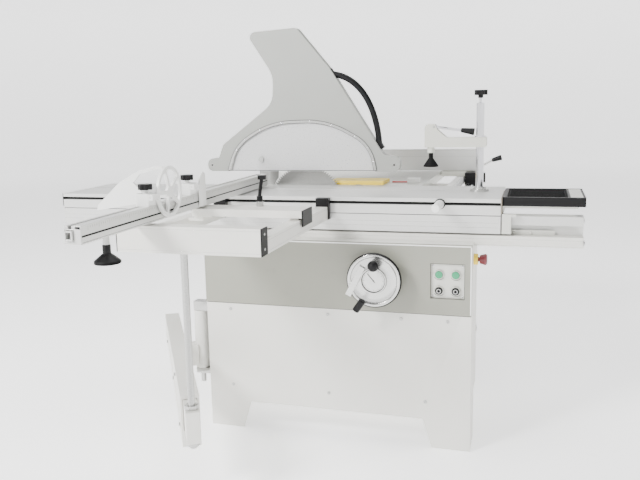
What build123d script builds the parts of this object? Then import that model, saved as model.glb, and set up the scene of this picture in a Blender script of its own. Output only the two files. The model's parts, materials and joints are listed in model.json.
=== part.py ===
from build123d import *
import math
import os

os.makedirs("parts", exist_ok=True)

# Sliding-table panel saw.  Millimetres, +Z up.  +X is the operator's end, -Y the sliding-table side.
# Everything is laid out from the cabinet's front left corner, then moved so that the origin is the
# middle of the whole machine's footprint on the floor.

# ---- driving dimensions ----
GAP = 0.5                    # clearance between sliding faces
RUN = 0.05                   # radial running clearance of a shaft in its hole
SHEET = 3.0                  # cabinet sheet thickness

CAB_W = 975.0                # cabinet width
CAB_D = 700.0                # cabinet depth
CAB_H = 735.0                # cabinet height
FRONT_D = 130.0              # depth of the front frame
INSET = 35.0                 # the body behind is this much narrower on each side
FOOT_W = 133.0
ARCH_X = 165.0
ARCH_H = 105.0
FASCIA_Z = 490.0             # lower edge of the fascia
FASCIA_T = 6.0

TABLE_Z = 883.0              # carriage surface
TABLE_DROP = 1.0             # fixed table below the carriage surface
TABLE_T = 10.0
RIB = 40.0
TABLE_X0 = -60.0
TABLE_X1 = 740.0
TABLE_Y0 = 456.0
TABLE_D = 560.0
EXTENSION_D = 380.0

BLADE_R = 157.5
BLADE_T = 3.2
BLADE_X = 266.0
BLADE_Y = 447.0              # the blade's face towards the carriage, which is also the tilt axis
BLADE_Z = 805.0
BORE_R = 15.0
TEETH = 96
SCORE_R = 60.0
SCORE_X = 485.0

CARRIAGE_L = 1700.0
CARRIAGE_X0 = -640.0
CARRIAGE_Y0 = 65.0
CARRIAGE_W = 380.0
CARRIAGE_H = 119.0
BOX_W = 245.0                # width of the carriage's deep box
LIP = 12.0                   # thin lip beside the blade
WALL = 8.0

RAIL_X0 = -520.0
RAIL_X1 = CARRIAGE_X0 + CARRIAGE_L + 264
RAIL_W = 120.0
RAIL_Z0 = 722.0
RAIL_H = 36.0
HEAD_W = 56.0                # guide head
HEAD_Z0 = 790.0
HEAD_H = 32.0
BALL_R = 6.0

FENCE_X0 = 80.0
FENCE_W = 47.0
FENCE_Y0 = -973.0
FENCE_L = 1335.0
FENCE_Z0 = 889.0
FENCE_H = 47.0

OUT_X0 = 18.0
OUT_X1 = 466.0
OUT_Y0 = -638.0
OUT_BEAM_W = 50.0
OUT_Z0 = 804.0
SIDE_H = 46.0
SIDE_W = 40.0
INNER_Y0 = -287.0
INNER_D = 105.0
INNER_T = 24.0

POST_R = 14.0
HOLD_X = 973.0
HOLD_Y = 290.0
ARM_Z0 = 1043.0
ARM_H = 36.0
ARM_REACH = 176.0

HOOD_T = 44.0
CHEEK = 4.0
HOOD_X0 = -163.0
HOOD_X1 = 657.0
HOOD_Z0 = 938.0

RIP_Y = 1100.0
RIP_Z = 884.0
RIP_H = 100.0
RIP_T = 36.0
RIP_X0 = -80.0
RIP_X1 = 905.0
BAR_X = 882.0
BAR_Z = 826.0
BAR_R = 18.0

ARM_LEN = 983.0
ARM_W = 60.0
SWING_X = -45.0
SWING_Y = 37.0
SWING_R = 21.0
TUBE_W = 42.0
TUBE_H = 100.0

WHEEL_X = 653.0
WHEEL_Z = 615.0
WHEEL_R = 95.0

SAW_Y = BLADE_Y + BLADE_T / 2
TABLE_TOP = TABLE_Z - TABLE_DROP
TABLE_Y1 = TABLE_Y0 + TABLE_D
CARRIAGE_X1 = CARRIAGE_X0 + CARRIAGE_L
CARRIAGE_Y1 = CARRIAGE_Y0 + CARRIAGE_W
CARRIAGE_Z0 = TABLE_Z - CARRIAGE_H
RAIL_Z1 = RAIL_Z0 + RAIL_H
GUIDE_Y = CARRIAGE_Y0 + RAIL_W / 2
FENCE_Y1 = FENCE_Y0 + FENCE_L
FENCE_Z1 = FENCE_Z0 + FENCE_H
OUT_Z1 = TABLE_Z - 1
PIVOT_X = FENCE_X0 + FENCE_W / 2
PIVOT_Y = INNER_Y0 + INNER_D / 2

pieces = {}


# ---- small helpers ----
def block(x0, x1, y0, y1, z0, z1):
    """A box between two corners."""
    return Pos((x0 + x1) / 2, (y0 + y1) / 2, (z0 + z1) / 2) * Box(x1 - x0, y1 - y0, z1 - z0)


def soft(x0, x1, y0, y1, z0, z1, r):
    """A box whose edges are all rounded."""
    shape = block(x0, x1, y0, y1, z0, z1)
    return fillet(shape.edges(), r)


def along(axis, start, end, a, b, r):
    """A round bar along one axis; a and b are its other two coordinates in X, Y, Z order."""
    middle = (start + end) / 2
    if axis == "x":
        return Pos(middle, a, b) * Rot(0, 90, 0) * Cylinder(r, end - start)
    if axis == "y":
        return Pos(a, middle, b) * Rot(90, 0, 0) * Cylinder(r, end - start)
    return Pos(a, b, middle) * Cylinder(r, end - start)


def taper(axis, start, end, a, b, r0, r1):
    """A cone along one axis."""
    middle = (start + end) / 2
    cone = Cone(r0, r1, end - start)
    if axis == "x":
        return Pos(middle, a, b) * Rot(0, 90, 0) * cone
    if axis == "y":
        return Pos(a, middle, b) * Rot(-90, 0, 0) * cone
    return Pos(a, b, middle) * cone


def plate_xz(points, radii, y0, y1):
    """A plate standing in the XZ plane, with rounded corners."""
    face = make_face(FilletPolyline(*points, radius=radii, close=True))
    plane = Plane(origin=(0, y1, 0), x_dir=(1, 0, 0), z_dir=(0, -1, 0))
    return extrude(plane * face, amount=y1 - y0)


def prism_x(points, x0, x1):
    """A prism along X from an outline of (y, z) points."""
    plane = Plane(origin=(x0, 0, 0), x_dir=(0, 1, 0), z_dir=(1, 0, 0))
    return extrude(plane * make_face(Polyline(*points, close=True)), amount=x1 - x0)


def prism_y(points, y0, y1):
    """A prism along Y from an outline of (x, z) points."""
    plane = Plane(origin=(0, y1, 0), x_dir=(1, 0, 0), z_dir=(0, -1, 0))
    return extrude(plane * make_face(Polyline(*points, close=True)), amount=y1 - y0)


def sector_x(cy, cz, r0, r1, a0, a1, x0, x1):
    """Part of a ring about a line along X; angles run from straight down towards +Y."""
    def at(r, a):
        return (cy + r * math.sin(math.radians(a)), cz - r * math.cos(math.radians(a)))
    mid = (a0 + a1) / 2
    edges = [
        ThreePointArc(at(r1, a0), at(r1, mid), at(r1, a1)),
        Line(at(r1, a1), at(r0, a1)),
        ThreePointArc(at(r0, a1), at(r0, mid), at(r0, a0)),
        Line(at(r0, a0), at(r1, a0)),
    ]
    plane = Plane(origin=(x0, 0, 0), x_dir=(0, 1, 0), z_dir=(1, 0, 0))
    return extrude(plane * make_face(edges), amount=x1 - x0)


def star_knob(axis, start, end, a, b, r, lobes=5):
    """A lobed hand knob."""
    knob = along(axis, start, end, a, b, r * 0.72)
    for i in range(lobes):
        t = 2 * math.pi * i / lobes
        u = a + r * 0.62 * math.cos(t)
        v = b + r * 0.62 * math.sin(t)
        knob += along(axis, start, end, u, v, r * 0.38)
    return knob


def hex_head(axis, start, end, a, b, across):
    """A hexagon head or nut."""
    prism = extrude(RegularPolygon(across / math.sqrt(3), 6), amount=end - start)
    if axis == "x":
        return Pos(start, a, b) * Rot(0, 90, 0) * prism
    if axis == "y":
        return Pos(a, end, b) * Rot(90, 0, 0) * prism
    return Pos(a, b, start) * prism


def keep(name, *solids):
    """Store one sub-part; several solids become a group."""
    found = []
    for item in solids:
        found.extend(item.solids())
    pieces[name] = found[0] if len(found) == 1 else Compound(children=found)


# ---- cabinet ----
def arch(y0, y1):
    """The cut-out between the feet."""
    foot_right = CAB_W - FOOT_W
    points = [(FOOT_W, -1), (ARCH_X, ARCH_H), (CAB_W - ARCH_X, ARCH_H), (foot_right, -1)]
    return prism_y(points, y0, y1)


PANEL_X0 = 838.0
PANEL_X1 = 950.0
PANEL_Z0 = 549.0
PANEL_Z1 = 668.0
DOOR_X0 = 150.0
DOOR_X1 = 825.0
DOOR_Z0 = 170.0
DOOR_Z1 = 660.0
SHAFT_R = 12.0
PORT_R = 50.0
PORT_L = 70.0
PORT_X = DOOR_X1 + 63
PORT_Z = 220.0


def cabinet_front():
    frame = block(0, CAB_W, 0, FRONT_D, 0, CAB_H)
    frame -= block(SHEET, CAB_W - SHEET, SHEET, FRONT_D + 1, -1, CAB_H - SHEET)
    frame -= block(-1, CAB_W + 1, CARRIAGE_Y0 - GAP, FRONT_D + 1, RAIL_Z0 - 5, CAB_H + 1)
    frame -= arch(-1, SHEET + 1)
    frame -= block(PANEL_X0 - 8, PANEL_X1 + 8, -1, SHEET + 1, PANEL_Z0 - 8, PANEL_Z1 + 8)
    frame -= along("y", -1, SHEET + 1, WHEEL_X, WHEEL_Z, SHAFT_R + 10)
    for x in (0, CAB_W - FOOT_W + 40):
        frame += block(x + 1, x + FOOT_W - 41, SHEET, FRONT_D, 0, SHEET)
    return frame


def cabinet_body():
    x0 = INSET
    x1 = CAB_W - INSET
    body = block(x0, x1, FRONT_D, CAB_D, 0, CAB_H - SHEET)
    body -= block(x0 + SHEET, x1 - SHEET, FRONT_D - 1, CAB_D - SHEET, ARCH_H + SHEET, CAB_H)
    body -= block(x0 + SHEET, x1 - SHEET, FRONT_D - 1, CAB_D - SHEET, -1, ARCH_H)
    body -= block(DOOR_X0, DOOR_X1, CAB_D - SHEET - 1, CAB_D + 1, DOOR_Z0, DOOR_Z1)
    body -= arch(CAB_D - SHEET - 1, CAB_D + 1)
    body -= along("y", CAB_D - SHEET - 1, CAB_D + 1, PORT_X, PORT_Z, PORT_R - 3)
    body -= block(x0 - 1, x1 + 1, FRONT_D - 1, CARRIAGE_Y0 + RAIL_W + 5, RAIL_Z0 - 5, CAB_H + 1)
    for x in (x0, x1):
        body -= block(x - SHEET - 1, x + SHEET + 1, 260, 560, -1, ARCH_H)
    return body


keep("cabinet_front", cabinet_front())
keep("cabinet_body", cabinet_body())

fascia = block(0, CAB_W, -FASCIA_T, 0, FASCIA_Z, CAB_H)
fascia = fillet(fascia.edges().filter_by(Axis.X).group_by(Axis.Y)[0], 3)
fascia -= block(PANEL_X0, PANEL_X1, -FASCIA_T - 1, 1, PANEL_Z0, PANEL_Z1)
fascia -= along("y", -FASCIA_T - 1, 1, WHEEL_X, WHEEL_Z, SHAFT_R + 10)
keep("fascia", fascia)

BUTTONS = {
    "start_button_main": (865.0, 631.0),
    "start_button_scoring": (921.0, 631.0),
    "stop_button_main": (865.0, 575.0),
    "stop_button_scoring": (921.0, 575.0),
}
BUTTON_R = 12.5
BEZEL_R = 16.0
BUTTON_TRAVEL = 4.0

plate = block(PANEL_X0 - 14, PANEL_X1 + 14, SHEET, SHEET + 3, PANEL_Z0 - 14, PANEL_Z1 + 14)
bezels = []
for bx, bz in BUTTONS.values():
    plate -= along("y", 0, 20, bx, bz, BUTTON_R + 2)
    ring = along("y", -5, SHEET, bx, bz, BEZEL_R)
    ring += along("y", SHEET, 40, bx, bz, BUTTON_R + 2)
    bezels.append(ring - along("y", -10, 30, bx, bz, BUTTON_R + GAP))
keep("control_plate", plate)
keep("button_bezels", *bezels)
for name, (bx, bz) in BUTTONS.items():
    proud = -9.0 if name.startswith("start") else -11.0
    cap = along("y", proud, 24, bx, bz, BUTTON_R)
    keep(name, fillet(cap.edges().group_by(Axis.Y)[0], 1.5))

ESTOP_Y = 60.0
ESTOP_Z = 676.0
collar = along("x", CAB_W, CAB_W + 14, ESTOP_Y, ESTOP_Z, 19)
collar += along("x", CAB_W - 45, CAB_W - SHEET, ESTOP_Y, ESTOP_Z, 16)
collar += along("x", CAB_W - SHEET, CAB_W, ESTOP_Y, ESTOP_Z, 11)
keep("stop_collar", collar - along("x", CAB_W - 40, CAB_W + 20, ESTOP_Y, ESTOP_Z, 8 + GAP))
mushroom = along("x", CAB_W - 30, CAB_W + 22, ESTOP_Y, ESTOP_Z, 8)
mushroom += taper("x", CAB_W + 20, CAB_W + 40, ESTOP_Y, ESTOP_Z, 15, 20)
mushroom += taper("x", CAB_W + 40, CAB_W + 44, ESTOP_Y, ESTOP_Z, 20, 16)
keep("stop_mushroom", mushroom)
hole = along("x", CAB_W - SHEET - 1, CAB_W + 1, ESTOP_Y, ESTOP_Z, 11)
pieces["cabinet_front"] = pieces["cabinet_front"] - hole

screws = []
for sx, sz in ((95, 466), (470, 466), (735, 466), (895, 466), (95, 170), (470, 170), (820, 170)):
    screws.append(fillet(along("y", -3, 0, sx, sz, 6).edges().group_by(Axis.Y)[0], 1.2))
keep("panel_screws", *screws)

KNUCKLE_X = DOOR_X0 - 14.5
KNUCKLE_Y = CAB_D + 3.5
KNUCKLE_R = 2.2
door = block(DOOR_X0 - 12, DOOR_X1 + 12, CAB_D + GAP, CAB_D + GAP + 2, DOOR_Z0 - 12, DOOR_Z1 + 12)
door += block(DOOR_X1 - 60, DOOR_X1 - 30, CAB_D + GAP + 2, CAB_D + GAP + 16, 400, 440)
hinges = []
for hz in (240, 560):
    leaf = block(DOOR_X0 - 38, KNUCKLE_X, CAB_D, CAB_D + 3, hz, hz + 39)
    hinges.append(leaf + along("z", hz, hz + 39, KNUCKLE_X, KNUCKLE_Y, KNUCKLE_R))
    door += along("z", hz + 39.5, hz + 60, KNUCKLE_X, KNUCKLE_Y, KNUCKLE_R)
    door += block(KNUCKLE_X, DOOR_X0 - 11, CAB_D + 1.5, KNUCKLE_Y, hz + 39.5, hz + 60)
keep("rear_door", door)
keep("door_hinges", *hinges)

port = along("y", CAB_D, CAB_D + PORT_L, PORT_X, PORT_Z, PORT_R)
port -= along("y", CAB_D - 1, CAB_D + PORT_L + 1, PORT_X, PORT_Z, PORT_R - 3)
keep("dust_port", port)
keep("isolator", soft(860, 930, CAB_D, CAB_D + 55, 520, 640, 4))

# ---- fixed tables ----
def ribbed_table(y0, y1, inner_rib):
    top = TABLE_TOP
    table = block(TABLE_X0, TABLE_X1, y0, y1, top - RIB, top)
    table -= block(TABLE_X0 + 12, TABLE_X1 - 12, y0 + inner_rib, y1 - 12, top - RIB - 1, top - TABLE_T)
    if inner_rib == 0:
        table -= block(TABLE_X0 - 1, TABLE_X1 + 1, y0 - 1, y0 + 14, top - RIB - 1, top - TABLE_T)
    return table


INSERT_X0 = 60.0
INSERT_X1 = 350.0
INSERT_W = 26.0
main_table = ribbed_table(TABLE_Y0, TABLE_Y1, 0)
main_table -= block(INSERT_X0, INSERT_X1, TABLE_Y0 - 1, TABLE_Y0 + INSERT_W, TABLE_TOP - 4, TABLE_TOP + 1)
keep("main_table", main_table)
insert = block(INSERT_X0 + GAP, INSERT_X1 - GAP, TABLE_Y0, TABLE_Y0 + INSERT_W - GAP, TABLE_TOP - 4, TABLE_TOP)
keep("table_insert", insert)
keep("extension_table", ribbed_table(TABLE_Y1 + 1, TABLE_Y1 + 1 + EXTENSION_D, 12))

supports = []
for x in (TABLE_X0 + 160, TABLE_X1 - 150):
    leg = block(x, x + 60, 620, CAB_D, CAB_H - SHEET, TABLE_TOP - TABLE_T)
    leg -= block(x + 8, x + 52, 600, CAB_D - 8, CAB_H + 8, TABLE_TOP - TABLE_T - 8)
    strut_x0 = x + 24
    strut = block(strut_x0, strut_x0 + 12, CAB_D, TABLE_Y1 + 120, TABLE_TOP - RIB - 40, TABLE_TOP - RIB)
    supports.append(leg + strut)
keep("table_supports", *supports)

BLADE_LEAN = 12.0            # room for the blade tilted to 45 degrees
guard = prism_x([(458, TABLE_TOP), (600, TABLE_TOP), (600, TABLE_TOP + 10), (590, TABLE_TOP + 15),
                 (468, TABLE_TOP + 15), (458, TABLE_TOP + 10)], 356, 583)
keep("scoring_cover", Pos(0, BLADE_LEAN, 0) * guard)
keep("table_gauge", block(665, 715, 560, 600, TABLE_TOP, TABLE_TOP + 18),
     block(600, 665, 572, 586, TABLE_TOP, TABLE_TOP + 4))

# ---- guide rail ----
rail = block(RAIL_X0, RAIL_X1, CARRIAGE_Y0, CARRIAGE_Y0 + RAIL_W, RAIL_Z0, RAIL_Z1)
rail -= block(RAIL_X0 - 1, RAIL_X1 + 1, CARRIAGE_Y0 + 8, CARRIAGE_Y0 + RAIL_W - 8, RAIL_Z0 + 6, RAIL_Z1 - 8)
rail += block(SHEET, CAB_W - SHEET, CARRIAGE_Y0 - 20, CARRIAGE_Y0, RAIL_Z0 + 2, CAB_H - SHEET)
keep("rail_beam", rail)
neck_w = 24.0
guide = block(RAIL_X0, RAIL_X1, GUIDE_Y - neck_w / 2, GUIDE_Y + neck_w / 2, RAIL_Z1, HEAD_Z0)
guide += block(RAIL_X0, RAIL_X1, GUIDE_Y - HEAD_W / 2, GUIDE_Y + HEAD_W / 2, HEAD_Z0, HEAD_Z0 + HEAD_H)
keep("guide_profile", guide)

cage = []
CAGE_X0 = -300.0
CAGE_X1 = 1235.0
BALL_PITCH = 55.0
BALL_Z = RAIL_Z1 + BALL_R + 0.3
for side in (-1, 1):
    yc = GUIDE_Y + side * 22
    strip = block(CAGE_X0, CAGE_X1, yc - 1.5, yc + 1.5, RAIL_Z1 + GAP, RAIL_Z1 + 16)
    balls = []
    count = int((CAGE_X1 - CAGE_X0) / BALL_PITCH)
    for i in range(count):
        ball = Pos(CAGE_X0 + BALL_PITCH * (i + 0.5), yc, BALL_Z) * Sphere(BALL_R)
        strip += ball
    cage.append(strip)
keep("ball_cage", *cage)

# ---- sliding carriage ----
SLOT_Z = 859.0
SLOT_H = 10.0
SLOT_D = 14.0


def carriage():
    y0 = CARRIAGE_Y0
    y_box = y0 + BOX_W
    z0 = CARRIAGE_Z0
    lip_z = TABLE_Z - LIP
    outline = [(y0, z0), (y_box, z0), (y_box, lip_z), (CARRIAGE_Y1 - 12, lip_z),
               (CARRIAGE_Y1, TABLE_Z - 1), (CARRIAGE_Y1, TABLE_Z), (y0, TABLE_Z)]
    body = prism_x(outline, CARRIAGE_X0, CARRIAGE_X1)
    ends = (CARRIAGE_X0 - 1, CARRIAGE_X1 + 1)
    channel_y0 = y0 + WALL + SLOT_D
    channel_y1 = GUIDE_Y + HEAD_W / 2 + 12
    body -= block(*ends, channel_y0, channel_y1, z0 - 1, HEAD_Z0 + HEAD_H + GAP)
    body -= block(*ends, channel_y1 + WALL, y_box - WALL, z0 + WALL, lip_z)
    body -= block(*ends, channel_y0, channel_y1, HEAD_Z0 + HEAD_H + GAP + WALL, lip_z)
    body -= block(*ends, y0 - 1, y0 + SLOT_D, SLOT_Z, SLOT_Z + SLOT_H)
    body -= block(*ends, y0 - 1, y0 + 2, 824, 826)
    body -= block(*ends, HOLD_Y - 5, HOLD_Y + 5, lip_z + 2, TABLE_Z + 1)
    return body


keep("carriage", carriage())
caps = []
for x0, x1 in ((CARRIAGE_X0 - 4, CARRIAGE_X0), (CARRIAGE_X1, CARRIAGE_X1 + 4)):
    cap = block(x0, x1, CARRIAGE_Y0 + 1, CARRIAGE_Y0 + BOX_W, 832, TABLE_Z - 1)
    caps.append(cap)
keep("carriage_end_caps", *caps)
handle = along("y", CARRIAGE_Y0 - 125, CARRIAGE_Y0 - 4, 859, SLOT_Z + 5, 14)
handle = fillet(handle.edges().group_by(Axis.Y)[0], 4)
keep("push_handle", handle)
keep("handle_stud", along("y", CARRIAGE_Y0 - 4, CARRIAGE_Y0, 859, SLOT_Z + 5, 17)
     + block(845, 873, CARRIAGE_Y0, CARRIAGE_Y0 + 12, SLOT_Z + 1, SLOT_Z + SLOT_H - 1))

TRAY_X0 = CARRIAGE_X1 + 4
TRAY_X1 = CARRIAGE_X1 + 268
tray = block(TRAY_X0, TRAY_X1, CARRIAGE_Y0 + 10, 350, 858, 888)
tray = fillet(tray.edges().filter_by(Axis.Z), 6)
tray -= block(TRAY_X0 + 14, TRAY_X1 - 55, CARRIAGE_Y0 + 24, 336, 882, 889)
keep("end_tray", tray)
mat = block(TRAY_X0 + 15, TRAY_X1 - 56, CARRIAGE_Y0 + 25, 335, 882, 885)
for i in range(11):
    ry = CARRIAGE_Y0 + 37 + i * 22.0
    mat += block(TRAY_X0 + 22, TRAY_X1 - 63, ry, ry + 8, 885, 887)
keep("tray_mat", mat)
bracket = block(TRAY_X0, TRAY_X1 - 22, CARRIAGE_Y0 + 20, 330, 850, 858)
bracket += block(TRAY_X0, TRAY_X0 + 6, CARRIAGE_Y0 + 20, 330, 835, 850)
keep("tray_bracket", bracket)
stop = block(CARRIAGE_X1 + 4, CARRIAGE_X1 + 34, CARRIAGE_Y0 + 2, CARRIAGE_Y0 + 22, CARRIAGE_Z0, 822)
stop += block(CARRIAGE_X1 + 4, CARRIAGE_X1 + 50, CARRIAGE_Y0 + 2, CARRIAGE_Y0 + 22, 822, 831.5)
keep("carriage_stop", stop)

# ---- cross-cut table (outrigger) ----
def tube_y(x0, x1, y0, y1, z0, z1, wall=3.0):
    tube = block(x0, x1, y0, y1, z0, z1)
    return tube - block(x0 + wall, x1 - wall, y0 - 1, y1 + 1, z0 + wall, z1 - wall)


def tube_x(x0, x1, y0, y1, z0, z1, wall=3.0):
    tube = block(x0, x1, y0, y1, z0, z1)
    return tube - block(x0 - 1, x1 + 1, y0 + wall, y1 - wall, z0 + wall, z1 - wall)


front_y1 = OUT_Y0 + OUT_BEAM_W
clamp_y0 = CARRIAGE_Y0 - 24
side_z1 = OUT_Z0 + SIDE_H
keep("outrigger_front_beam", tube_x(OUT_X0 + 3, OUT_X1 - 3, OUT_Y0, front_y1, OUT_Z0, OUT_Z1))
side_x0 = (OUT_X0 + 12, OUT_X1 - SIDE_W)
keep("outrigger_side_beams", *[tube_y(x, x + SIDE_W, front_y1, clamp_y0 - 3, OUT_Z0, side_z1) for x in side_x0])
slab = tube_x(OUT_X0 + 76, OUT_X1 + 5, INNER_Y0, INNER_Y0 + INNER_D, OUT_Z1 - INNER_T, OUT_Z1)
slab += block(OUT_X0 + 76, OUT_X0 + 80, INNER_Y0, INNER_Y0 + INNER_D, OUT_Z1 - INNER_T, OUT_Z1)
slab += block(PIVOT_X - 20, PIVOT_X + 20, PIVOT_Y - 20, PIVOT_Y + 20, OUT_Z1 - INNER_T, OUT_Z1)
PIN_R = 8.0
slab -= along("z", OUT_Z1 - INNER_T - 1, OUT_Z1 + 1, PIVOT_X, PIVOT_Y, PIN_R + RUN)
keep("outrigger_inner_beam", slab)
inner_z0 = OUT_Z1 - INNER_T
risers = []
for x in side_x0:
    risers.append(block(max(x, OUT_X0 + 78), max(x, OUT_X0 + 78) + 30, INNER_Y0 + 15, INNER_Y0 + INNER_D - 15,
                        side_z1, inner_z0))
left_shelf = block(side_x0[0] + SIDE_W, OUT_X0 + 108, INNER_Y0 + 15, INNER_Y0 + INNER_D - 15, side_z1 - 10, side_z1)
risers[0] = risers[0] + left_shelf
keep("outrigger_risers", *risers)
ends = [block(OUT_X0, OUT_X0 + 3, OUT_Y0, front_y1, OUT_Z0, OUT_Z1)]
ends.append(block(OUT_X1 - 3, OUT_X1, OUT_Y0, front_y1, OUT_Z0, OUT_Z1))
ends.append(block(OUT_X1 + 5, OUT_X1 + 9, INNER_Y0, INNER_Y0 + INNER_D, OUT_Z1 - 52, OUT_Z1))
for x in side_x0:
    ends.append(block(x, x + SIDE_W, clamp_y0 - 3, clamp_y0, OUT_Z0, side_z1))
keep("outrigger_caps", *ends)
clamps = []
for x in side_x0:
    c = block(x - 4, x + SIDE_W + 4, clamp_y0, CARRIAGE_Y0, OUT_Z0, TABLE_Z - 3)
    c += block(x, x + SIDE_W, CARRIAGE_Y0, CARRIAGE_Y0 + SLOT_D - 2, SLOT_Z + 1, SLOT_Z + SLOT_H - 1)
    clamps.append(c)
keep("outrigger_clamps", *clamps)
LEVER_X = 300.0
LEVER_Y = INNER_Y0 + INNER_D - 16
keep("clamp_boss", along("z", OUT_Z1, OUT_Z1 + 16, LEVER_X, LEVER_Y, 12)
     - along("z", OUT_Z1 + 1, OUT_Z1 + 17, LEVER_X, LEVER_Y, 6 + RUN))
clamp = along("z", OUT_Z1 + 1, OUT_Z1 + 20, LEVER_X, LEVER_Y, 6)
clamp += along("z", OUT_Z1 + 16.5, OUT_Z1 + 34, LEVER_X, LEVER_Y, 10)
clamp += Pos(LEVER_X + 4, LEVER_Y, OUT_Z1 + 62) * Rot(0, 9, 0) * Cylinder(6, 68)
clamp += Pos(LEVER_X + 10, LEVER_Y, OUT_Z1 + 96) * Box(26, 12, 14)
keep("clamp_lever", clamp)

# ---- cross-cut fence with its telescopic end and two flip stops ----
fence = block(FENCE_X0, FENCE_X0 + FENCE_W, FENCE_Y0 + 3, FENCE_Y1 - 3, FENCE_Z0, FENCE_Z1)
CORE_X0 = FENCE_X0 + 4
CORE_X1 = FENCE_X0 + 26
CORE_Z0 = FENCE_Z0 + 10
CORE_Z1 = FENCE_Z1 - 12
core_len = 560.0
fence -= block(CORE_X0 - GAP, CORE_X1 + GAP, FENCE_Y0 - 1, FENCE_Y0 + core_len + 20, CORE_Z0 - GAP, CORE_Z1 + GAP)
fence -= block(FENCE_X0 + 30, FENCE_X0 + FENCE_W - 3, FENCE_Y0 - 1, FENCE_Y1 + 1, FENCE_Z0 + 3, FENCE_Z1 - 3)
STOP_SLOT_X = FENCE_X0 + 15
fence -= block(STOP_SLOT_X - 5, STOP_SLOT_X + 5, FENCE_Y0 - 1, FENCE_Y1 + 1, FENCE_Z1 - 8, FENCE_Z1 + 1)
keep("crosscut_fence", fence)
cap_ring = block(FENCE_X0, FENCE_X0 + FENCE_W, FENCE_Y0, FENCE_Y0 + 3, FENCE_Z0, FENCE_Z1 - 8)
cap_ring -= block(CORE_X0 - 2, CORE_X1 + 2, FENCE_Y0 - 1, FENCE_Y0 + 4, CORE_Z0 - 2, CORE_Z1 + 2)
far_cap = block(FENCE_X0, FENCE_X0 + FENCE_W, FENCE_Y1 - 3, FENCE_Y1, FENCE_Z0, FENCE_Z1)
keep("fence_caps", cap_ring, far_cap)
core = block(CORE_X0, CORE_X1, FENCE_Y0 - 6, FENCE_Y0 + core_len, CORE_Z0, CORE_Z1)
core -= block(CORE_X0 + 4, CORE_X1 - 4, FENCE_Y0 - 7, FENCE_Y0 + core_len + 1, CORE_Z0 + 4, CORE_Z1 - 4)
keep("fence_extension", core)
pin = along("z", OUT_Z1 - INNER_T + 1, FENCE_Z0, PIVOT_X, PIVOT_Y, PIN_R)
pin += along("z", OUT_Z1 + GAP, FENCE_Z0, PIVOT_X, PIVOT_Y, 18)
keep("fence_pivot", pin)
KNOB_Y = -826.0
foot = along("z", FENCE_Z0 - 26, FENCE_Z0, PIVOT_X, KNOB_Y, 9)
knob = along("z", FENCE_Z0 - 56, FENCE_Z0 - 26, PIVOT_X, KNOB_Y, 11)
knob += taper("z", FENCE_Z0 - 68, FENCE_Z0 - 50, PIVOT_X, KNOB_Y, 35, 13)
knob += along("z", FENCE_Z0 - 76, FENCE_Z0 - 68, PIVOT_X, KNOB_Y, 35)
keep("fence_stud", foot)
keep("fence_foot_knob", knob)

FLIP_X = FENCE_X0 + FENCE_W + 5
FLIP_Z = FENCE_Z1 + 26
FLIP_R = 4.0
SHOE_R = 76.0
SHOE_X0 = FENCE_X0 + FENCE_W + 3


def stop_block(yc):
    body = block(FENCE_X0 + 2, FENCE_X0 + FENCE_W - 2, yc - 24, yc + 24, FENCE_Z1, FENCE_Z1 + 36)
    body = fillet(body.edges().filter_by(Axis.Z), 4)
    body += block(FENCE_X0 + 2, FENCE_X0 + FENCE_W - 2, yc + 24, yc + 52, FENCE_Z1, FENCE_Z1 + 6)
    body += block(STOP_SLOT_X - 4, STOP_SLOT_X + 4, yc - 20, yc + 40, FENCE_Z1 - 7, FENCE_Z1)
    body += along("z", FENCE_Z1 + 36, FENCE_Z1 + 46, PIVOT_X, yc, 8)
    ear = block(FENCE_X0 + FENCE_W - 2, FLIP_X + 6, yc - 24, yc + 10, FLIP_Z - 8, FLIP_Z + 8)
    return body + ear - along("y", yc - 30, yc + 11, FLIP_X, FLIP_Z, FLIP_R + RUN)


def spoked_shoe(yc):
    """The large round stop: a rim on five spokes beside the fence, held in the block's ear."""
    cy = yc + 11 + SHOE_R
    cz = FLIP_Z + 5
    x0 = SHOE_X0
    x1 = x0 + 8
    rim = along("x", x0, x1, cy, cz, SHOE_R) - along("x", x0 - 1, x1 + 1, cy, cz, SHOE_R - 11)
    rim += along("x", x0, x1, cy, cz, 17)
    for i in range(5):
        arm = block(x0, x1, -5, 5, 14, SHOE_R - 8)
        rim += Pos(0, cy, cz) * Rot(18 + 72 * i, 0, 0) * arm
    hub_y = yc + 10 + GAP
    rim += block(x0, x1, hub_y, cy - SHOE_R + 8, FLIP_Z - 8, FLIP_Z + 8)
    rim += along("y", yc - 22, hub_y + 4, FLIP_X, FLIP_Z, FLIP_R + RUN)
    return rim


def small_shoe(yc):
    """The small quadrant flip stop."""
    y0 = yc + 25
    points = [(y0, FENCE_Z0 + 4), (y0 + 46, FENCE_Z0 + 4), (y0 + 46, FLIP_Z + 34), (y0 + 30, FLIP_Z + 42),
              (y0 + 8, FLIP_Z + 30), (y0, FLIP_Z + 8)]
    shoe = prism_x(points, SHOE_X0, SHOE_X0 + 5)
    return shoe + along("y", yc - 22, y0 + 4, FLIP_X, FLIP_Z, FLIP_R)


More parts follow.
